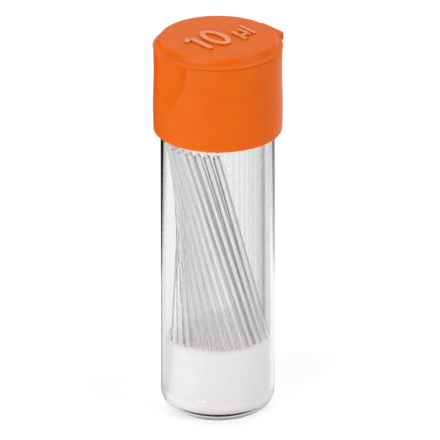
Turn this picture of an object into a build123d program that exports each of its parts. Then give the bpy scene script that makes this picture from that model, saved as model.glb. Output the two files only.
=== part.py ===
from build123d import *
import os
from math import cos, hypot, radians, sin, sqrt

# A round glass vial that holds a bundle of fine glass capillary tubes.
# The tubes stand on a foam plug, and a push-on cap with a flip lid closes the mouth.
# Millimetres, +Z up. The origin is the centre of the vial's base, where it stands.

# Glass vial
vial_diameter = 16.8
vial_wall = 0.6
vial_floor = 1.6
heel_rounding = 2.9
floor_bevel = 1.3
rim_bevel = 0.2

# Foam plug at the bottom of the vial
foam_gap = 0.05
foam_height = 10.2
foam_top_bevel = 0.8
foam_foot_bevel = 1.4

# Capillary tubes, loose in the vial and twisted like a sheaf
tube_diameter = 1.0
tube_bore = 0.63
tube_length = 32.0
tube_count = 50
tube_sides = 12
tube_gap = 0.04
tube_rest_gap = 0.02
mouth_room = 6.2

# How the tubes stand, as angles in degrees around the vial
full_twist_angle = 76.0
straight_until_angle = 60.0
twisted_from_angle = 205.0
front_start_angle = 212.0
front_end_angle = 350.0
back_end_angle = 150.0
search_angle = 0.5
whole_turn_angle = 360.0

# Cap pushed over the vial's mouth
cap_fit_gap = 0.05
cap_seat_gap = 0.05
cap_wall = 1.0
skirt_depth = 5.8
cap_head = 7.05
seat_overlap = 0.9
belly_swell = 0.07
belly_height = 4.3
waist_inset = 0.09
waist_height = 9.2
bore_lead_in = 0.3
skirt_edge_bevel = 0.25

# Thumb notch under the lid, on a shallow flat-sided pad
pad_half_width = 3.7
pad_depth = 0.16
pad_height = 7.2
notch_depth = 1.45
notch_height = 6.9
notch_side_radius = 8.9

# Flip lid with a raised disc and a plug ring
lid_gap = 0.08
lip_thickness = 0.47
lip_overhang = 0.08
lip_bevel = 0.15
disc_rise = 0.97
shoulder_width = 1.0
disc_bevel = 0.25
plug_gap = 0.1
plug_depth = 2.0
plug_wall = 0.9
plug_taper = 0.15
plug_tip_bevel = 0.2
lid_core_depth = 0.4

# Strap that hinges the lid, level with its lip
hinge_azimuth = 39.0
strap_reach = 0.85
strap_width = 6.0
strap_rounding = 0.7
strap_root = 1.4
strap_step = 0.6

# Sizes that follow from the ones above
vial_radius = vial_diameter / 2
vial_inner = vial_radius - vial_wall
foam_radius = vial_inner - foam_gap
foam_top = vial_floor + foam_height
vial_height = foam_top + tube_length + mouth_room
tube_radius = tube_diameter / 2
bore_radius = vial_radius + cap_fit_gap
skirt_radius = bore_radius + cap_wall
passage_radius = vial_inner - seat_overlap
skirt_edge = vial_height - skirt_depth
seat_level = vial_height + cap_seat_gap
cap_top = seat_level + cap_head
lid_under = cap_top + lid_gap
lip_top = lid_under + lip_thickness
disc_top = lip_top + disc_rise
lip_radius = skirt_radius + lip_overhang
disc_radius = lip_radius - shoulder_width
hinge_radius = lip_radius + strap_reach


# Upright plane through the vial's axis, with its x axis pointing at an azimuth
def radial_plane(azimuth):
    x, y = cos(radians(azimuth)), sin(radians(azimuth))
    return Plane(origin=(0, 0, 0), x_dir=(x, y, 0), z_dir=(y, -x, 0))


# Level plane at a height, with its x axis pointing at an azimuth
def level_plane(height, azimuth):
    x, y = cos(radians(azimuth)), sin(radians(azimuth))
    return Plane(origin=(0, 0, height), x_dir=(x, y, 0), z_dir=(0, 0, 1))


# The corner of a sketch nearest a point
def corner(sketch, x, y):
    return sketch.vertices().sort_by_distance((x, y, 0))[0]


# Vial: a tube with a flat base, a rounded heel and softened rim edges
with BuildPart() as vial:
    with BuildSketch(Plane.XZ) as vial_section:
        with BuildLine():
            Polyline(
                (0, 0),
                (vial_radius, 0),
                (vial_radius, vial_height),
                (vial_inner, vial_height),
                (vial_inner, vial_floor),
                (0, vial_floor),
                close=True,
            )
        make_face()
        fillet(corner(vial_section, vial_radius, 0), heel_rounding)
        chamfer(corner(vial_section, vial_inner, vial_floor), floor_bevel)
        chamfer(corner(vial_section, vial_radius, vial_height), rim_bevel)
        chamfer(corner(vial_section, vial_inner, vial_height), rim_bevel)
    revolve(axis=Axis.Z)
vial.part.label = "vial"

# Foam plug: a soft disc pressed to the floor of the vial
with BuildPart() as foam_plug:
    with BuildSketch(Plane.XY.offset(vial_floor)):
        Circle(foam_radius)
    extrude(amount=foam_height)
    chamfer(foam_plug.edges().sort_by(Axis.Z)[0], foam_foot_bevel)
    chamfer(foam_plug.edges().sort_by(Axis.Z)[-1], foam_top_bevel)
foam_plug.part.label = "foam_plug"


# How far a tube's top is turned back, clockwise from above, from the azimuth of its foot
def twist_at(foot):
    share = (foot - straight_until_angle) / (twisted_from_angle - straight_until_angle)
    share = min(max(share, 0), 1)
    return full_twist_angle * share * share * (3 - 2 * share)


# Centre of a tube's foot and the direction it leans in, for a ring and a foot azimuth
def tube_line(ring, foot):
    head = foot - twist_at(foot)
    start_x, start_y = ring * cos(radians(foot)), ring * sin(radians(foot))
    lean_x = (ring * cos(radians(head)) - start_x) / tube_length
    lean_y = (ring * sin(radians(head)) - start_y) / tube_length
    lean = hypot(lean_x, lean_y)
    start_z = foam_top + tube_rest_gap + tube_radius * lean
    return (start_x, start_y, start_z), (lean_x, lean_y, sqrt(1 - lean * lean))


# Least distance between the axes of two tubes, looked at from foot to top
def spacing(one, other):
    (start, way), (other_start, other_way) = one, other
    least = tube_length
    for step in range(9):
        along = tube_length * step / 8
        apart = [b + v * along - a - u * along for a, u, b, v in zip(start, way, other_start, other_way)]
        beside = sum(gap * part for gap, part in zip(apart, way))
        least = min(least, sqrt(sum(gap * gap for gap in apart) - beside * beside))
    return least


# Tubes fill the vial from the wall inwards, the front first, and leave its left side bare
def lay_tubes():
    pitch = tube_diameter + tube_gap
    ring = vial_inner - tube_gap - tube_radius
    ring_step = pitch / cos(radians(full_twist_angle / 2))
    placed = []
    while len(placed) < tube_count and ring > 0:
        foot = front_start_angle
        while len(placed) < tube_count and foot < whole_turn_angle + back_end_angle:
            line = tube_line(ring, foot % whole_turn_angle)
            bare = front_end_angle < foot < whole_turn_angle
            if not bare and all(spacing(line, near) >= pitch for near in placed):
                placed.append(line)
            foot += search_angle
        ring -= ring_step
    return placed


# Capillary tubes: straight, hollow and cut square, with flats so narrow that they pass for round
tubes = []
for number, (foot_centre, direction) in enumerate(lay_tubes(), start=1):
    with BuildPart() as capillary:
        with BuildSketch(Plane(origin=foot_centre, z_dir=direction)):
            RegularPolygon(tube_radius, tube_sides)
            RegularPolygon(tube_bore / 2, tube_sides, mode=Mode.SUBTRACT)
        extrude(amount=tube_length)
    capillary.part.label = f"capillary_{number:02d}"
    tubes.append(capillary.part)

# Cap: a skirt that grips the glass, a seat on its rim and a wide passage to the lid
with BuildPart() as cap:
    with BuildSketch(Plane.XZ) as cap_section:
        with BuildLine():
            Polyline(
                (skirt_radius, skirt_edge),
                (bore_radius, skirt_edge),
                (bore_radius, seat_level),
                (passage_radius, seat_level),
                (passage_radius, cap_top),
                (skirt_radius, cap_top),
                (skirt_radius - waist_inset, skirt_edge + waist_height),
                (skirt_radius + belly_swell, skirt_edge + belly_height),
                close=True,
            )
        make_face()
        chamfer(corner(cap_section, bore_radius, skirt_edge), bore_lead_in)
        chamfer(corner(cap_section, skirt_radius, skirt_edge), skirt_edge_bevel)
    revolve(axis=Axis.Z)

    # Pad: the moulded flat-sided window around the thumb notch
    with BuildSketch(level_plane(cap_top - pad_height, hinge_azimuth + 180)):
        Circle(lip_radius)
        Circle(skirt_radius - pad_depth, mode=Mode.SUBTRACT)
        Rectangle(
            lip_radius, 2 * pad_half_width, align=(Align.MIN, Align.CENTER), mode=Mode.INTERSECT
        )
    extrude(amount=pad_height, mode=Mode.SUBTRACT)

    # Thumb notch: a barrel-shaped hollow, deepest under the lid
    notch_face = skirt_radius - waist_inset
    notch_centre = notch_face - notch_depth + notch_side_radius
    notch_arc = (notch_height**2 + notch_depth**2) / (2 * notch_depth)
    notch_drop = sqrt(notch_arc**2 - (notch_arc - notch_side_radius) ** 2)
    with BuildSketch(radial_plane(hinge_azimuth + 180)):
        with BuildLine():
            RadiusArc(
                (notch_face - notch_depth, cap_top),
                (notch_centre, cap_top - notch_drop),
                -notch_arc,
            )
            Polyline(
                (notch_centre, cap_top - notch_drop),
                (notch_centre, cap_top),
                (notch_face - notch_depth, cap_top),
            )
        make_face()
    revolve(
        axis=Axis(radial_plane(hinge_azimuth + 180).from_local_coords((notch_centre, 0, 0)), (0, 0, 1)),
        mode=Mode.SUBTRACT,
    )

    # Lower half of the hinge strap
    with BuildSketch(level_plane(cap_top - strap_step, hinge_azimuth)) as lower_strap:
        with Locations((hinge_radius, 0)):
            Rectangle(strap_reach + strap_root, strap_width, align=(Align.MAX, Align.CENTER))
        fillet(lower_strap.vertices().group_by(Axis.X)[-1], strap_rounding)
    extrude(amount=strap_step)
cap.part.label = "cap"

# Lid: a thin lip with a raised disc above it and a tapered plug ring below it
with BuildPart() as lid:
    plug_outer = passage_radius - plug_gap
    plug_inner = plug_outer - plug_wall
    with BuildSketch(Plane.XZ) as lid_section:
        with BuildLine():
            Polyline(
                (0, lid_under + lid_core_depth),
                (plug_inner, lid_under + lid_core_depth),
                (plug_inner, lid_under - plug_depth),
                (plug_outer - plug_taper, lid_under - plug_depth),
                (plug_outer, lid_under),
                (lip_radius, lid_under),
                (lip_radius, lip_top),
                (disc_radius, lip_top),
                (disc_radius, disc_top),
                (0, disc_top),
                close=True,
            )
        make_face()
        chamfer(corner(lid_section, lip_radius, lip_top), lip_bevel)
        chamfer(corner(lid_section, disc_radius, disc_top), disc_bevel)
        chamfer(corner(lid_section, plug_outer - plug_taper, lid_under - plug_depth), plug_tip_bevel)
    revolve(axis=Axis.Z)

    # Upper half of the hinge strap
    with BuildSketch(level_plane(lid_under, hinge_azimuth)) as upper_strap:
        with Locations((hinge_radius, 0)):
            Rectangle(strap_reach + strap_root, strap_width, align=(Align.MAX, Align.CENTER))
        fillet(upper_strap.vertices().group_by(Axis.X)[-1], strap_rounding)
    extrude(amount=lip_thickness)
lid.part.label = "lid"

os.makedirs("parts", exist_ok=True)
for piece in (vial.part, foam_plug.part, cap.part, lid.part, *tubes):
    export_step(piece, f"parts/{piece.label}.step")
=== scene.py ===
import bpy
import bmesh
from math import acos, asin, atan2, cos, pi, radians, sin, sqrt, tan
from mathutils import Matrix, Vector


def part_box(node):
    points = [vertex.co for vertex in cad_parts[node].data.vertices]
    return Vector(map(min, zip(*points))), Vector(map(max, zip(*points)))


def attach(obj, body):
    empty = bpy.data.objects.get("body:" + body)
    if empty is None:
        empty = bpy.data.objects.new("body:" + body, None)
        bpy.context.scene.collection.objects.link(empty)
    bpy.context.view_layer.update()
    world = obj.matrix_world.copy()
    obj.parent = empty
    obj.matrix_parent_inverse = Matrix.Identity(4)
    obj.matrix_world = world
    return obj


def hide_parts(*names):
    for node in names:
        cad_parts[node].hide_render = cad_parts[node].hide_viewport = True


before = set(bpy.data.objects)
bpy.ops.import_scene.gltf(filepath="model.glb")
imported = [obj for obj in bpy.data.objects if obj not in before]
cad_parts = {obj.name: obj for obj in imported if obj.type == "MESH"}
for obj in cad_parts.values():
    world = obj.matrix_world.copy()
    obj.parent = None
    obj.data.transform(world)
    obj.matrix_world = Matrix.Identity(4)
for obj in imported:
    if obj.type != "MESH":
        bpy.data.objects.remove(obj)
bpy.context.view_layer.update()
mm = 0.001
wholeTurn = 2 * pi
hingeAzimuth = radians(39.0)
padAzimuth = hingeAzimuth + pi  # the thumb notch lies across from the hinge
turnToHinge = Matrix.Rotation(hingeAzimuth, 4, "Z")
mergeGap = 0.0005 * mm  # points nearer than this become one
pastMiddle = 0.001 * mm  # a point this far past the middle is in the far half
acrossAxis = 0.9  # a face whose normal is this near to an axis lies across it


# small helpers for modelling by hand

def deselectAll():
    bpy.ops.object.select_all(action="DESELECT")


def selectOnly(piece):
    deselectAll()
    piece.select_set(True)
    bpy.context.view_layer.objects.active = piece


def toEdit(piece):
    # edit mode, with the whole mesh selected
    selectOnly(piece)
    bpy.ops.object.mode_set(mode="EDIT")
    bpy.ops.mesh.select_all(action="SELECT")


def pickIn(piece):
    # edit mode, with nothing selected, so that parts of the mesh can be picked
    toEdit(piece)
    bpy.ops.mesh.select_all(action="DESELECT")
    return bmesh.from_edit_mesh(piece.data)


def toObject():
    bpy.ops.object.mode_set(mode="OBJECT")


def settle(piece):
    # origin at the world's origin, with the place in the mesh
    selectOnly(piece)
    bpy.ops.object.transform_apply(location=True, rotation=True, scale=True)


def smooth(piece, angle):
    selectOnly(piece)
    bpy.ops.object.shade_smooth_by_angle(angle=radians(angle))


def applyModifier(piece, kind, **settings):
    selectOnly(piece)
    modifier = piece.modifiers.new(kind.lower(), kind)
    for key, value in settings.items():
        setattr(modifier, key, value)
    bpy.ops.object.modifier_apply(modifier=modifier.name)


def softenEdges(piece, width, segments, sharperThan):
    applyModifier(piece, "BEVEL", width=width, segments=segments,
                  limit_method="ANGLE", angle_limit=radians(sharperThan))


def cutAway(piece, cutter, operation="DIFFERENCE"):
    applyModifier(piece, "BOOLEAN", object=cutter, operation=operation, solver="EXACT")
    bpy.data.objects.remove(cutter)


def openBore(piece, wall):
    # both flat ends are inset by the wall and bridged into an open bore
    mesh = pickIn(piece)
    for face in mesh.faces:
        if abs(face.normal.z) > acrossAxis:
            face.select = True
    bmesh.update_edit_mesh(piece.data)
    bpy.ops.mesh.inset(thickness=wall, use_individual=True)
    bpy.ops.mesh.bridge_edge_loops()
    bpy.ops.mesh.select_all(action="SELECT")
    bpy.ops.mesh.normals_make_consistent(inside=False)
    toObject()


def pullHalf(piece, along):
    # the half that faces along is moved by it, so that both ends keep their form
    facing = Vector(along).normalized()
    mesh = pickIn(piece)
    for vertex in mesh.verts:
        vertex.select = vertex.co.dot(facing) > pastMiddle
    mesh.select_flush_mode()
    bmesh.update_edit_mesh(piece.data)
    bpy.ops.transform.translate(value=along)
    toObject()


def roundedPath(corners, arcStep):
    # corners are (radius from the axis, height, rounding); roundings become short arcs
    path = []
    for index, (x, z, rounding) in enumerate(corners):
        here = Vector((x, z))
        if rounding == 0 or index in (0, len(corners) - 1):
            path.append(here)
            continue
        back = (Vector(corners[index - 1][:2]) - here).normalized()
        ahead = (Vector(corners[index + 1][:2]) - here).normalized()
        half = acos(max(-1, min(1, back.dot(ahead)))) / 2
        centre = here + (back + ahead).normalized() * rounding / sin(half)
        start = here + back * rounding / tan(half) - centre
        turn = pi - 2 * half
        if start.x * ahead.y - start.y * ahead.x < 0:
            turn = -turn
        steps = max(2, round(abs(turn) / arcStep))
        for number in range(steps + 1):
            angle = turn * number / steps
            path.append(centre + Vector((start.x * cos(angle) - start.y * sin(angle),
                                         start.x * sin(angle) + start.y * cos(angle))))
    return path


def lathe(name, corners, steps, arcStep=radians(12), closed=False, sweep=wholeTurn, startAt=0.0):
    # one vertex is walked along the section, then spun about the upright axis
    path = roundedPath(corners, arcStep)
    deselectAll()
    bpy.ops.mesh.primitive_plane_add(size=1 * mm)
    piece = bpy.context.object
    piece.name = name
    toEdit(piece)
    bpy.ops.mesh.merge(type="CENTER")
    facing = Vector((cos(startAt), sin(startAt), 0))
    spots = [facing * p.x + Vector((0, 0, p.y)) for p in path]
    bpy.ops.transform.translate(value=spots[0])
    for before, after in zip(spots, spots[1:]):
        bpy.ops.mesh.extrude_region_move(TRANSFORM_OT_translate={"value": after - before})
    bpy.ops.mesh.select_all(action="SELECT")
    if closed:
        bpy.ops.mesh.remove_doubles(threshold=mergeGap)
        bpy.ops.mesh.edge_face_add()
        bpy.ops.mesh.select_all(action="SELECT")
        # after a whole turn the section's face would be left inside as a wall
        if sweep >= wholeTurn:
            bpy.ops.mesh.delete(type="ONLY_FACE")
            bpy.ops.mesh.select_all(action="SELECT")
    # spin turns clockwise for a positive angle
    bpy.ops.mesh.spin(steps=steps, angle=-sweep, center=(0, 0, 0), axis=(0, 0, 1))
    bpy.ops.mesh.select_all(action="SELECT")
    bpy.ops.mesh.remove_doubles(threshold=mergeGap)
    bpy.ops.mesh.normals_make_consistent(inside=False)
    toObject()
    return piece


def finishPiece(piece, body, material, nodes=()):
    piece.data.materials.clear()
    piece.data.materials.append(material)
    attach(piece, body)
    if nodes:
        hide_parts(*nodes)


# small helpers for materials

def newMaterial(name):
    material = bpy.data.materials.new(name)
    material.use_nodes = True
    tree = material.node_tree
    tree.nodes.clear()
    tree.nodes.new("ShaderNodeOutputMaterial")
    shader = tree.nodes.new("ShaderNodeBsdfPrincipled")
    showSurface(tree, shader.outputs[0])
    return material, tree, shader


def showSurface(tree, surface):
    tree.links.new(surface, tree.get_output_node("ALL").inputs["Surface"])


def addNode(tree, kind, **values):
    node = tree.nodes.new(kind)
    for key, value in values.items():
        if key in node.inputs:
            node.inputs[key].default_value = value
        else:
            setattr(node, key, value)
    return node


def setInputs(node, values):
    for key, value in values.items():
        node.inputs[key].default_value = value


def mixSurfaces(tree, mask, one, other):
    # the other surface shows where the mask is 1
    chooser = tree.nodes.new("ShaderNodeMixShader")
    tree.links.new(mask, chooser.inputs["Fac"])
    tree.links.new(one, chooser.inputs[1])
    tree.links.new(other, chooser.inputs[2])
    return chooser.outputs[0]


def greyRamp(tree, stops):
    # stops are (position, brightness)
    ramp = tree.nodes.new("ShaderNodeValToRGB")
    elements = ramp.color_ramp.elements
    elements.remove(elements[1])
    for index, (position, value) in enumerate(stops):
        stop = elements[0] if index == 0 else elements.new(position)
        stop.position = position
        stop.color = (value, value, value, 1.0)
    return ramp


grainLook = {
    "fineDetail": 4.0,
    "fineRoughness": 0.6,
    "broadDetail": 2.0,
    "broadRoughness": 0.5,
}


def surfaceGrainGroup():
    # fine uneven surface: a height and a mask, from Object coordinates
    look = grainLook
    group = bpy.data.node_groups.new("surfaceGrain", "ShaderNodeTree")
    for name, way in (("Scale", "INPUT"), ("Blotch Scale", "INPUT"),
                      ("Height", "OUTPUT"), ("Blotch", "OUTPUT")):
        group.interface.new_socket(name=name, in_out=way, socket_type="NodeSocketFloat")
    start = group.nodes.new("NodeGroupInput")
    end = group.nodes.new("NodeGroupOutput")
    place = group.nodes.new("ShaderNodeTexCoord")
    fine = addNode(group, "ShaderNodeTexNoise", Detail=look["fineDetail"], Roughness=look["fineRoughness"])
    broad = addNode(group, "ShaderNodeTexNoise", Detail=look["broadDetail"], Roughness=look["broadRoughness"])
    for noise, scale, result in ((fine, "Scale", "Height"), (broad, "Blotch Scale", "Blotch")):
        group.links.new(place.outputs["Object"], noise.inputs["Vector"])
        group.links.new(start.outputs[scale], noise.inputs["Scale"])
        group.links.new(noise.outputs["Fac"], end.inputs[result])
    return group


surfaceGrain = surfaceGrainGroup()


def useGrain(tree, look):
    grain = tree.nodes.new("ShaderNodeGroup")
    grain.node_tree = surfaceGrain
    setInputs(grain, {"Scale": look["grain"], "Blotch Scale": look["blotch"]})
    return grain


def tintSurface(tree, shader, one, other, mask):
    tint = addNode(tree, "ShaderNodeMix", data_type="RGBA")
    # a colour mix has its two colours at 6 and 7, and its result at 2
    tint.inputs[6].default_value = one
    tint.inputs[7].default_value = other
    tree.links.new(mask, tint.inputs[0])
    tree.links.new(tint.outputs[2], shader.inputs["Base Color"])


def bumpSurface(tree, shader, look, height):
    bump = addNode(tree, "ShaderNodeBump", Strength=look["bump"], Distance=look["bumpDepth"])
    tree.links.new(height, bump.inputs["Height"])
    tree.links.new(bump.outputs["Normal"], shader.inputs["Normal"])


# translucent plastic of the cap and the lid, and a paler copy of it that paints a highlight on the mark's
# tops

orangeLook = {
    "deep": (0.75, 0.112, 0.0005, 1.0),
    "light": (0.80, 0.150, 0.001, 1.0),
    "roughness": 0.38,
    "gloss": 0.15,
    "ior": 1.5,
    "glow": 0.45,
    "glowReach": (1.0, 0.32, 0.05),
    "glowScale": 1.2 * mm,
    "grain": 2600.0,
    "blotch": 260.0,
    "bump": 0.18,
    "bumpDepth": 0.02 * mm,
}
# paler, glossier copy for the tops of the mark's strokes: painted highlight
paintedHighlightLook = dict(orangeLook, deep=(0.82, 0.27, 0.12, 1.0), light=(0.88, 0.33, 0.16, 1.0), roughness=0.3)


def orangePlastic(name, look):
    material, tree, shader = newMaterial(name)
    grain = useGrain(tree, look)
    tintSurface(tree, shader, look["deep"], look["light"], grain.outputs["Blotch"])
    bumpSurface(tree, shader, look, grain.outputs["Height"])
    setInputs(shader, {
        "Roughness": look["roughness"],
        "Specular IOR Level": look["gloss"],
        "Subsurface Weight": look["glow"],
        "Subsurface Radius": look["glowReach"],
        "Subsurface Scale": look["glowScale"],
        "IOR": look["ior"],
    })
    return material


# clear glass, with painted shade: its colour turns darker where it is seen edge on, standing in for the dark
# reflections along glass edges

glassLook = {
    "shadow": (0.97, 0.97, 0.97, 1.0),
    "clear": (0.99, 0.995, 0.993, 1.0),
    "edge": (0.15, 0.15, 0.15, 1.0),
    "edgeFrom": 0.83,
    "edgeTo": 0.95,
    "roughness": 0.0,
    "ior": 1.49,
}
tubeLook = {
    "shadow": (0.99, 0.99, 0.99, 1.0),
    "clear": (0.985, 0.987, 0.986, 1.0),
    "edge": (0.55, 0.55, 0.55, 1.0),
    "edgeFrom": 0.62,
    "edgeTo": 0.92,
    "roughness": 0.0,
    "ior": 1.49,
}
# copies whose edges are painted near black, as painted shade for the outer tubes and the sheaf's sides
outerTubePaintedEdgeLook = dict(tubeLook, edge=(0.02, 0.02, 0.02, 1.0), edgeFrom=0.54, edgeTo=0.66)
sideTubePaintedEdgeLook = dict(tubeLook, edge=(0.0, 0.0, 0.0, 1.0), edgeFrom=0.44, edgeTo=0.50)


def clearGlass(name, look):
    material, tree, shader = newMaterial(name)
    # painted shade: the base colour darkens from clear to the edge colour as the surface turns edge on
    rim = addNode(tree, "ShaderNodeLayerWeight", Blend=0.5)
    ramp = tree.nodes.new("ShaderNodeValToRGB")
    middle, edge = ramp.color_ramp.elements
    middle.position, middle.color = look["edgeFrom"], look["clear"]
    edge.position, edge.color = look["edgeTo"], look["edge"]
    tree.links.new(rim.outputs["Facing"], ramp.inputs["Fac"])
    tree.links.new(ramp.outputs["Color"], shader.inputs["Base Color"])
    setInputs(shader, {"Roughness": look["roughness"], "IOR": look["ior"], "Transmission Weight": 1.0})
    # light from the lamps and the floor goes straight through to the foam and the tubes
    path = tree.nodes.new("ShaderNodeLightPath")
    passing = addNode(tree, "ShaderNodeBsdfTransparent", Color=look["shadow"])
    lighting = addNode(tree, "ShaderNodeMath", operation="MAXIMUM")
    tree.links.new(path.outputs["Is Shadow Ray"], lighting.inputs[0])
    tree.links.new(path.outputs["Is Diffuse Ray"], lighting.inputs[1])
    showSurface(tree, mixSurfaces(tree, lighting.outputs[0], shader.outputs[0], passing.outputs[0]))
    return material


# the tubes' square ends, left as they were cut

groundLook = {
    "color": (0.84, 0.72, 0.68, 1.0),
    "roughness": 0.6,
    "clear": 0.35,
}


def groundGlass():
    look = groundLook
    material, tree, shader = newMaterial("groundGlass")
    setInputs(shader, {
        "Base Color": look["color"],
        "Roughness": look["roughness"],
        "IOR": tubeLook["ior"],
        "Transmission Weight": look["clear"],
    })
    return material


# white foam with small cells

foamLook = {
    "pale": (0.90, 0.885, 0.885, 1.0),
    "shade": (0.76, 0.735, 0.74, 1.0),
    "roughness": 0.95,
    "grain": 5200.0,
    "blotch": 700.0,
    "cells": 2400.0,
    "bump": 0.6,
    "bumpDepth": 0.12 * mm,
}


def softFoam():
    look = foamLook
    material, tree, shader = newMaterial("softFoam")
    grain = useGrain(tree, look)
    place = tree.nodes.new("ShaderNodeTexCoord")
    cells = addNode(tree, "ShaderNodeTexVoronoi", Scale=look["cells"])
    tree.links.new(place.outputs["Object"], cells.inputs["Vector"])
    tintSurface(tree, shader, look["shade"], look["pale"], grain.outputs["Height"])
    bumpSurface(tree, shader, look, cells.outputs["Distance"])
    setInputs(shader, {"Roughness": look["roughness"]})
    return material


orange = orangePlastic("orangePlastic", orangeLook)
paintedHighlightPlastic = orangePlastic("orangePlasticPaintedHighlight", paintedHighlightLook)
vialGlass = clearGlass("vialGlass", glassLook)
tubeGlass = clearGlass("tubeGlass", tubeLook)
outerTubePaintedEdgeGlass = clearGlass("outerTubePaintedEdgeGlass", outerTubePaintedEdgeLook)
sideTubePaintedEdgeGlass = clearGlass("sideTubePaintedEdgeGlass", sideTubePaintedEdgeLook)
groundEnds = groundGlass()
foam = softFoam()
print("materials made")


# glass vial

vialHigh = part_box("vial")[1]
vialShape = {
    "radius": vialHigh.x,
    "height": vialHigh.z,
    "wall": 0.6 * mm,
    "floor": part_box("foam_plug")[0].z,
    "heel": 2.9 * mm,
    "innerHeel": 1.7 * mm,
    "rim": 0.28 * mm,
    "steps": 192,
    "arcStep": radians(7),
    "smoothUnder": 40,
}


def makeVial():
    s = vialShape
    inside = s["radius"] - s["wall"]
    vial = lathe("glassVial", [
        (0, 0, 0),
        (s["radius"], 0, s["heel"]),
        (s["radius"], s["height"], s["rim"]),
        (inside, s["height"], s["rim"]),
        (inside, s["floor"], s["innerHeel"]),
        (0, s["floor"], 0),
    ], s["steps"], s["arcStep"])
    smooth(vial, s["smoothUnder"])
    finishPiece(vial, "vial", vialGlass, ["vial"])


makeVial()
print("vial made")


# foam plug, soft and a little crowned

foamLow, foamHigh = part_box("foam_plug")
foamShape = {
    "radius": foamHigh.x - 0.03 * mm,
    "low": foamLow.z + 0.02 * mm,
    "edgeTop": foamHigh.z - 0.12 * mm,
    "middleTop": foamHigh.z - 0.01 * mm,
    "crownShare": 0.5,  # of the radius, where the crown begins
    "crownRounding": 4 * mm,
    "shoulder": 0.9 * mm,
    "foot": 1.5 * mm,
    "steps": 128,
    "arcStep": radians(9),
    "smoothUnder": 60,
}


def makeFoam():
    s = foamShape
    plug = lathe("foamPlug", [
        (0, s["low"], 0),
        (s["radius"], s["low"], s["foot"]),
        (s["radius"], s["edgeTop"], s["shoulder"]),
        (s["radius"] * s["crownShare"], s["middleTop"], s["crownRounding"]),
        (0, s["middleTop"], 0),
    ], s["steps"], s["arcStep"])
    smooth(plug, s["smoothUnder"])
    finishPiece(plug, "vial", foam, ["foam_plug"])


makeFoam()
print("foam made")


# capillary tubes, one modelled and copied to each place that the frame gives

tubeShape = {
    "radius": 0.5 * mm,
    "bore": 0.315 * mm,
    "sides": 28,
    "smoothUnder": 40,
    "outerFrom": 7.0 * mm,  # how far from the axis the outermost tubes' feet begin
    "frontTo": 3.5 * mm,  # how far back a tube may stand and still draw its edges
    "sideFrom": 4.1 * mm,  # how far to the left or right the sheaf's sides begin
}
samePlace = 7  # decimals of a metre to which points of a node are compared


def tubeEnds(node):
    # the nodes' points all lie at their two ends
    points = [v.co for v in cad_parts[node].data.vertices]
    middle = (min(p.z for p in points) + max(p.z for p in points)) / 2
    feet = {tuple(round(c, samePlace) for c in p) for p in points if p.z < middle}
    heads = {tuple(round(c, samePlace) for c in p) for p in points if p.z >= middle}
    foot = sum((Vector(p) for p in feet), Vector()) / len(feet)
    head = sum((Vector(p) for p in heads), Vector()) / len(heads)
    return foot, head


def modelTube(length):
    s = tubeShape
    deselectAll()
    bpy.ops.mesh.primitive_cylinder_add(
        vertices=s["sides"], radius=s["radius"], depth=length, location=(0, 0, length / 2))
    tube = bpy.context.object
    openBore(tube, s["radius"] - s["bore"])
    settle(tube)
    smooth(tube, s["smoothUnder"])
    return tube


def glassFor(foot):
    # the outermost tubes get copies with painted dark edges, blackest at the sheaf's sides, standing in for
    # dark reflections; those behind stay pale
    s = tubeShape
    if foot.xy.length <= s["outerFrom"] or foot.y >= s["frontTo"]:
        return tubeGlass
    return sideTubePaintedEdgeGlass if abs(foot.x) > s["sideFrom"] else outerTubePaintedEdgeGlass


def makeTubes():
    names = sorted(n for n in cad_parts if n.startswith("capillary_"))
    ends = {name: tubeEnds(name) for name in names}
    foot, head = ends[names[0]]
    pattern = modelTube((head - foot).length)
    for name in names:
        foot, head = ends[name]
        tube = pattern.copy()
        tube.data = pattern.data.copy()
        tube.name = "glassTube" + name[-2:]
        bpy.context.collection.objects.link(tube)
        lean = (head - foot).to_track_quat("Z", "Y").to_matrix().to_4x4()
        tube.data.transform(Matrix.Translation(foot) @ lean)
        finishPiece(tube, "vial", glassFor(foot), [name])
        tube.data.materials.append(groundEnds)
        axis = (head - foot).normalized()
        for face in tube.data.polygons:
            if abs(face.normal.dot(axis)) > acrossAxis:
                face.material_index = 1
    bpy.data.objects.remove(pattern)


makeTubes()
print("tubes made")


# cap, with the strap's lower half and the thumb notch on its pad

capLow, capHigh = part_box("cap")
cutterTop = capHigh.z + 0.5 * mm  # the cutters reach past the cap's top
capShape = {
    "skirt": 9.45 * mm,
    "belly": 9.52 * mm,
    "bellyUp": 4.3 * mm,
    "waist": 9.36 * mm,
    "waistUp": 9.2 * mm,
    "sideRounding": 60 * mm,
    "bore": 8.45 * mm,
    "leadIn": 0.3 * mm,
    "seat": 50.05 * mm,
    "passage": 6.9 * mm,
    "edge": 0.35 * mm,
    "soften": 0.06 * mm,
    "softenSteps": 2,
    "sharperThan": 35,
    "steps": 160,
    "smoothUnder": 30,
}
padShape = {
    "halfWidth": 3.7 * mm,
    "radius": 9.24 * mm,
    "low": 49.6 * mm,
    "fade": 1.2 * mm,
    "fadeOut": 9.50 * mm,
    "outside": 10.6 * mm,
    "steps": 24,
}
notchShape = {
    "depth": 1.45 * mm,
    "drop": 6.9 * mm,
    "side": 8.9 * mm,
    "past": 1.35,  # the cutter's length, as a share of the drop
    "curveSteps": 16,
    "steps": 160,
}
strapShape = {
    "reach": 10.38 * mm,
    "root": 8.2 * mm,
    "width": 5.5 * mm,
    "aside": -0.2 * mm,
    "rounding": 0.75 * mm,
    "roundingSteps": 6,
    "soften": 0.14 * mm,
    "softenSteps": 3,
    "sharperThan": 50,
    "capStep": 0.6 * mm,
}


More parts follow.
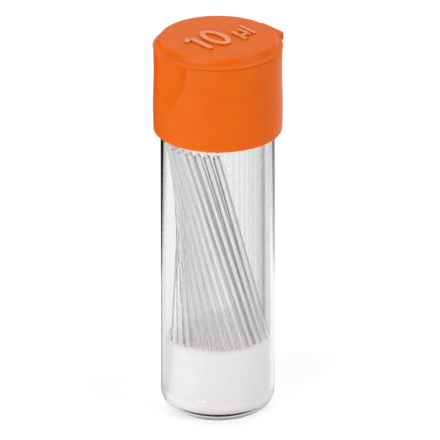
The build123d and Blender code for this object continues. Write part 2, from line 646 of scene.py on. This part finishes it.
def makeStrap(low, high):
    # a flat lug that points along the hinge's azimuth
    s = strapShape
    middle = (s["reach"] + s["root"]) / 2
    deselectAll()
    bpy.ops.mesh.primitive_cube_add(size=1.0)
    strap = bpy.context.object
    strap.scale = (s["reach"] - s["root"], s["width"], high - low)
    strap.location = (middle, s["aside"], (low + high) / 2)
    settle(strap)
    mesh = pickIn(strap)
    for edge in mesh.edges:
        one, other = (vertex.co for vertex in edge.verts)
        upright = (one - other).xy.length < mergeGap
        if upright and one.x > middle:
            edge.select = True
    bmesh.update_edit_mesh(strap.data)
    bpy.ops.mesh.bevel(offset=s["rounding"], segments=s["roundingSteps"], affect="EDGES")
    toObject()
    softenEdges(strap, s["soften"], s["softenSteps"], s["sharperThan"])
    strap.data.transform(turnToHinge)
    return strap


def padCutter():
    # a slice of a ring outside the pad's face, with a lower end that fades out
    s = padShape
    halfTurn = asin(s["halfWidth"] / s["radius"])
    return lathe("padCutter", [
        (s["radius"], s["low"] + s["fade"], 0),
        (s["fadeOut"], s["low"], 0),
        (s["outside"], s["low"], 0),
        (s["outside"], cutterTop, 0),
        (s["radius"], cutterTop, 0),
        (s["radius"], s["low"] + s["fade"], 0),
    ], s["steps"], closed=True, sweep=2 * halfTurn, startAt=padAzimuth - halfTurn)


def notchCutter():
    # an upright barrel beside the cap, widest at the cap's top, so that it cuts deepest there
    s = notchShape
    curve = (s["drop"] ** 2 + s["depth"] ** 2) / (2 * s["depth"])
    length = s["drop"] * s["past"]
    depths = [length * k / s["curveSteps"] for k in range(s["curveSteps"] + 1)]
    side = [(s["side"] - curve + sqrt(curve ** 2 - d ** 2), capHigh.z - d, 0) for d in depths]
    cutter = lathe("notchCutter", [
        (0, cutterTop, 0),
        (s["side"], cutterTop, 0),
        *side,
        (0, capHigh.z - length, 0),
    ], s["steps"])
    reach = capShape["waist"] - s["depth"] + s["side"]
    cutter.data.transform(Matrix.Translation((reach * cos(padAzimuth), reach * sin(padAzimuth), 0)))
    return cutter


def makeCap():
    s = capShape
    low, high = capLow.z, capHigh.z
    cap = lathe("capShell", [
        (s["bore"], low + s["leadIn"], 0),
        (s["bore"] + s["leadIn"], low, 0),
        (s["skirt"], low, s["edge"]),
        (s["belly"], low + s["bellyUp"], s["sideRounding"]),
        (s["waist"], low + s["waistUp"], s["sideRounding"]),
        (s["skirt"], high, 0),
        (s["passage"], high, 0),
        (s["passage"], s["seat"], 0),
        (s["bore"], s["seat"], 0),
        (s["bore"], low + s["leadIn"], 0),
    ], s["steps"], closed=True)
    cutAway(cap, padCutter())
    cutAway(cap, notchCutter())
    cutAway(cap, makeStrap(high - strapShape["capStep"], high), "UNION")
    softenEdges(cap, s["soften"], s["softenSteps"], s["sharperThan"])
    smooth(cap, s["smoothUnder"])
    finishPiece(cap, "cap", orange, ["cap"])


makeCap()
print("cap made")


# lid with its plug ring and the strap's upper half

lidLow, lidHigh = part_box("lid")
lidShape = {
    "under": 57.18 * mm,
    "lip": 9.53 * mm,
    "lipTop": 57.65 * mm,
    "lipEdge": 57.48 * mm,
    "lipUnderRounding": 0.06 * mm,
    "lipRounding": 0.22 * mm,
    "shoulder": 8.85 * mm,
    "hollow": 0.5 * mm,
    "disc": 8.53 * mm,
    "discRounding": 0.35 * mm,
    "plug": 6.8 * mm,
    "plugTip": 6.65 * mm,
    "plugTipRounding": 0.2 * mm,
    "plugInside": 5.9 * mm,
    "plugInsideRounding": 0.15 * mm,
    "core": 57.58 * mm,
    "coreRounding": 0.1 * mm,
    "strapTop": 57.59 * mm,
    "steps": 160,
    "smoothUnder": 30,
}


def makeLid():
    s = lidShape
    lid = lathe("flipLid", [
        (0, s["core"], 0),
        (s["plugInside"], s["core"], s["coreRounding"]),
        (s["plugInside"], lidLow.z, s["plugInsideRounding"]),
        (s["plugTip"], lidLow.z, s["plugTipRounding"]),
        (s["plug"], s["under"], 0),
        (s["lip"], s["under"], s["lipUnderRounding"]),
        (s["lip"], s["lipEdge"], s["lipRounding"]),
        (s["shoulder"], s["lipTop"], s["hollow"]),
        (s["disc"], lidHigh.z, s["discRounding"]),
        (0, lidHigh.z, 0),
    ], s["steps"])
    cutAway(lid, makeStrap(s["under"], s["strapTop"]), "UNION")
    smooth(lid, s["smoothUnder"])
    finishPiece(lid, "lid", orange, ["lid"])


makeLid()


# raised capacity mark on the lid's disc, drawn in millimetres before it is turned to the hinge

markShape = {
    "rise": 0.30 * mm,
    "sunk": 0.1 * mm,
    "place": (-0.28 * mm, -0.45 * mm),
    "soften": 0.1 * mm,
    "softenSteps": 3,
    "sharperThan": 50,
    "smoothUnder": 40,
    "stroke": 0.46 * mm,
    "strokes": [((-3.2, -2.6), (-3.2, 2.1)), ((-3.2, 2.1), (-4.35, 1.35))],
    "strokeSides": 24,
    "smallStroke": 0.31 * mm,
    "smallStrokes": [((3.0, -3.1), (3.0, -0.2)), ((4.5, -2.1), (4.5, 0.0)),
                     ((3.0, -1.9), (4.5, -1.9)), ((5.4, -2.1), (5.4, 0.95))],
    "zero": (-0.18, -0.13, 1.28, 2.57),  # x, y, half width and half height of its centre line
    "zeroSides": 64,
}


def strokeBar(start, end, radius):
    # a low round peg, pulled out so that both ends stay round
    s = markShape
    reach = Vector(end) - Vector(start)
    deselectAll()
    bpy.ops.mesh.primitive_cylinder_add(
        vertices=s["strokeSides"], radius=radius, depth=s["rise"] + s["sunk"])
    bar = bpy.context.object
    pullHalf(bar, (reach.length * mm, 0, 0))
    turn = Matrix.Rotation(atan2(reach.y, reach.x), 4, "Z")
    bar.data.transform(Matrix.Translation((start[0] * mm, start[1] * mm, 0)) @ turn)
    return bar


def makeZero():
    s = markShape
    x, y, halfWide, halfHigh = s["zero"]
    stroke = s["stroke"] / mm
    deselectAll()
    bpy.ops.mesh.primitive_cylinder_add(
        vertices=s["zeroSides"], radius=1 * mm, depth=s["rise"] + s["sunk"])
    zero = bpy.context.object
    zero.scale = (halfWide + stroke, halfHigh + stroke, 1)
    settle(zero)
    openBore(zero, 2 * s["stroke"])
    zero.data.transform(Matrix.Translation((x * mm, y * mm, 0)))
    return zero


def makeMark():
    s = markShape
    pieces = [strokeBar(a, b, s["stroke"]) for a, b in s["strokes"]]
    pieces += [strokeBar(a, b, s["smallStroke"]) for a, b in s["smallStrokes"]]
    pieces.append(makeZero())
    for piece in pieces:
        softenEdges(piece, s["soften"], s["softenSteps"], s["sharperThan"])
    selectOnly(pieces[-1])
    for piece in pieces:
        piece.select_set(True)
    bpy.ops.object.join()
    mark = bpy.context.object
    mark.name = "capacityMark"
    lift = lidHigh.z + (s["rise"] - s["sunk"]) / 2
    mark.data.transform(Matrix.Translation((*s["place"], lift)) @ turnToHinge)
    smooth(mark, s["smoothUnder"])
    finishPiece(mark, "lid", orange)
    # the strokes' tops get the paler copy, a painted highlight that makes them lighter than their sides
    mark.data.materials.append(paintedHighlightPlastic)
    for face in mark.data.polygons:
        if face.normal.z > acrossAxis:
            face.material_index = 1


makeMark()


# thin film that stays bent along the strap's outer edge

filmShape = {
    "radius": 0.09 * mm,
    "level": 57.14 * mm,
    "length": 4.4 * mm,
    "sides": 16,
    "rings": 8,
    "smoothUnder": 60,
}


def makeFilm():
    s = filmShape
    deselectAll()
    bpy.ops.mesh.primitive_uv_sphere_add(segments=s["sides"], ring_count=s["rings"], radius=s["radius"])
    film = bpy.context.object
    film.name = "hingeFilm"
    pullHalf(film, (0, s["length"], 0))
    place = Matrix.Translation((strapShape["reach"] - s["radius"], -s["length"] / 2, s["level"]))
    film.data.transform(turnToHinge @ place)
    smooth(film, s["smoothUnder"])
    finishPiece(film, "cap", orange)


makeFilm()
print("lid made")


# floor, with studio cards around the object that only glass and plastic show

studioFloor = {
    "size": 6.0,
    "gap": 0.02 * mm,
    "color": (0.8, 0.8, 0.8, 1.0),
    "glow": 0.15,
    "cameraGlow": 0.17,
    "cardPower": 2.0,
    # brightness around the object by turn (0.25 is the front, 0.5 the right, 0.75 the back)
    "throughGlass": [
        (0.0, 0.34), (0.12, 0.42), (0.25, 0.46), (0.50, 0.46), (0.56, 0.5), (0.90, 0.5), (0.96, 0.34),
    ],
    "inReflections": [
        (0.0, 0.35), (0.08, 0.75), (0.14, 0.55), (0.20, 0.14), (0.25, 0.01), (0.32, 0.06), (0.42, 0.25),
        (0.50, 0.28), (0.62, 0.35), (0.70, 0.5), (0.75, 0.5), (0.76, 0.02), (0.94, 0.02),
    ],
}


def turnCards(tree, turn, stops):
    ramp = greyRamp(tree, stops)
    tree.links.new(turn.outputs["Color"], ramp.inputs["Fac"])
    glow = addNode(tree, "ShaderNodeEmission", Strength=studioFloor["cardPower"])
    tree.links.new(ramp.outputs["Color"], glow.inputs["Color"])
    return glow.outputs[0]


def makeFloor():
    look = studioFloor
    deselectAll()
    bpy.ops.mesh.primitive_plane_add(size=look["size"], location=(0, 0, 0))
    floor = bpy.context.object
    floor.name = "floor"
    floor.data.transform(Matrix.Translation((0, 0, -look["gap"])))
    material, tree, shader = newMaterial("whiteFloor")
    setInputs(shader, {
        "Base Color": look["color"],
        "Roughness": 1.0,
        "Specular IOR Level": 0.0,
        "Emission Color": (1, 1, 1, 1),
    })
    # the floor glows a little, and a little more for the camera
    path = tree.nodes.new("ShaderNodeLightPath")
    glow = addNode(tree, "ShaderNodeMath", operation="MULTIPLY_ADD")
    glow.inputs[1].default_value = look["cameraGlow"]
    glow.inputs[2].default_value = look["glow"]
    tree.links.new(path.outputs["Is Camera Ray"], glow.inputs[0])
    tree.links.new(glow.outputs[0], shader.inputs["Emission Strength"])
    place = tree.nodes.new("ShaderNodeTexCoord")
    turn = addNode(tree, "ShaderNodeTexGradient", gradient_type="RADIAL")
    tree.links.new(place.outputs["Object"], turn.inputs["Vector"])
    # a ray that leaves glass also counts as a glossy one, so its cards are chosen last
    surface = shader.outputs[0]
    for ray, stops in (("Is Glossy Ray", "inReflections"), ("Is Transmission Ray", "throughGlass")):
        surface = mixSurfaces(tree, path.outputs[ray], surface, turnCards(tree, turn, look[stops]))
    showSurface(tree, surface)
    floor.data.materials.append(material)


makeFloor()


# world, a studio that is dark behind the camera and pale behind the object

worldLook = {
    # brightness from the front of the room (0) to its back (1)
    "stops": [(0.35, 0.10), (0.62, 0.26), (0.90, 0.62)],
    "strength": 1.0,
}


def makeWorld():
    look = worldLook
    world = bpy.data.worlds.new("studio")
    bpy.context.scene.world = world
    world.use_nodes = True
    tree = world.node_tree
    tree.nodes.clear()
    output = tree.nodes.new("ShaderNodeOutputWorld")
    backdrop = addNode(tree, "ShaderNodeBackground", Strength=look["strength"])
    place = tree.nodes.new("ShaderNodeTexCoord")
    split = tree.nodes.new("ShaderNodeSeparateXYZ")
    depth = tree.nodes.new("ShaderNodeMapRange")
    setInputs(depth, {"From Min": -1.0, "From Max": 1.0})
    ramp = greyRamp(tree, look["stops"])
    tree.links.new(place.outputs["Generated"], split.inputs[0])
    tree.links.new(split.outputs["Y"], depth.inputs["Value"])
    tree.links.new(depth.outputs["Result"], ramp.inputs["Fac"])
    tree.links.new(ramp.outputs["Color"], backdrop.inputs["Color"])
    tree.links.new(backdrop.outputs[0], output.inputs["Surface"])


makeWorld()


# lamps, all turned to the upper part of the vial

lampAim = Vector((0, 0, 0.04))
studioLamps = [
    {"name": "softboxAbove", "place": (0.0, 0.14, 0.60), "size": (0.6, 0.6), "watts": 1.9},
    {"name": "softboxLeft", "place": (-0.43, -0.50, 0.27), "size": (0.35, 0.50), "watts": 3.3},
    {"name": "softboxRight", "place": (0.55, -0.25, 0.30), "size": (0.25, 0.40), "watts": 1.8},
]


def addLamp(name, place, size, watts):
    lamp = bpy.data.lights.new(name, "AREA")
    lamp.shape = "RECTANGLE"
    lamp.size, lamp.size_y = size
    lamp.energy = watts
    holder = bpy.data.objects.new(name, lamp)
    bpy.context.scene.collection.objects.link(holder)
    holder.location = place
    holder.rotation_euler = (lampAim - Vector(place)).to_track_quat("-Z", "Y").to_euler()


for studioLamp in studioLamps:
    addLamp(**studioLamp)


# camera, far off with a long lens

cameraView = {
    "aim": (0.31 * mm, 0, 29.6 * mm),
    "distance": 1.258,
    "elevation": radians(23.3),
    "lens": 700.0,
    "sensor": 36.0,
    "clipFrom": 0.05,
    "clipTo": 20.0,
}


def makeCamera():
    view = cameraView
    data = bpy.data.cameras.new("camera")
    data.lens = view["lens"]
    data.sensor_width = view["sensor"]
    data.clip_start = view["clipFrom"]
    data.clip_end = view["clipTo"]
    camera = bpy.data.objects.new("camera", data)
    bpy.context.scene.collection.objects.link(camera)
    away = Vector((0, -cos(view["elevation"]), sin(view["elevation"]))) * view["distance"]
    camera.location = Vector(view["aim"]) + away
    camera.rotation_euler = (pi / 2 - view["elevation"], 0, 0)
    bpy.context.scene.camera = camera


makeCamera()


# many thin glass walls lie behind each other, so a ray may bounce often

bounces = {
    "max_bounces": 48,
    "transmission_bounces": 48,
    "glossy_bounces": 16,
    "transparent_max_bounces": 64,
}
for setting, count in bounces.items():
    setattr(bpy.context.scene.cycles, setting, count)
bpy.context.scene.view_settings.view_transform = "Standard"
print("stage set")
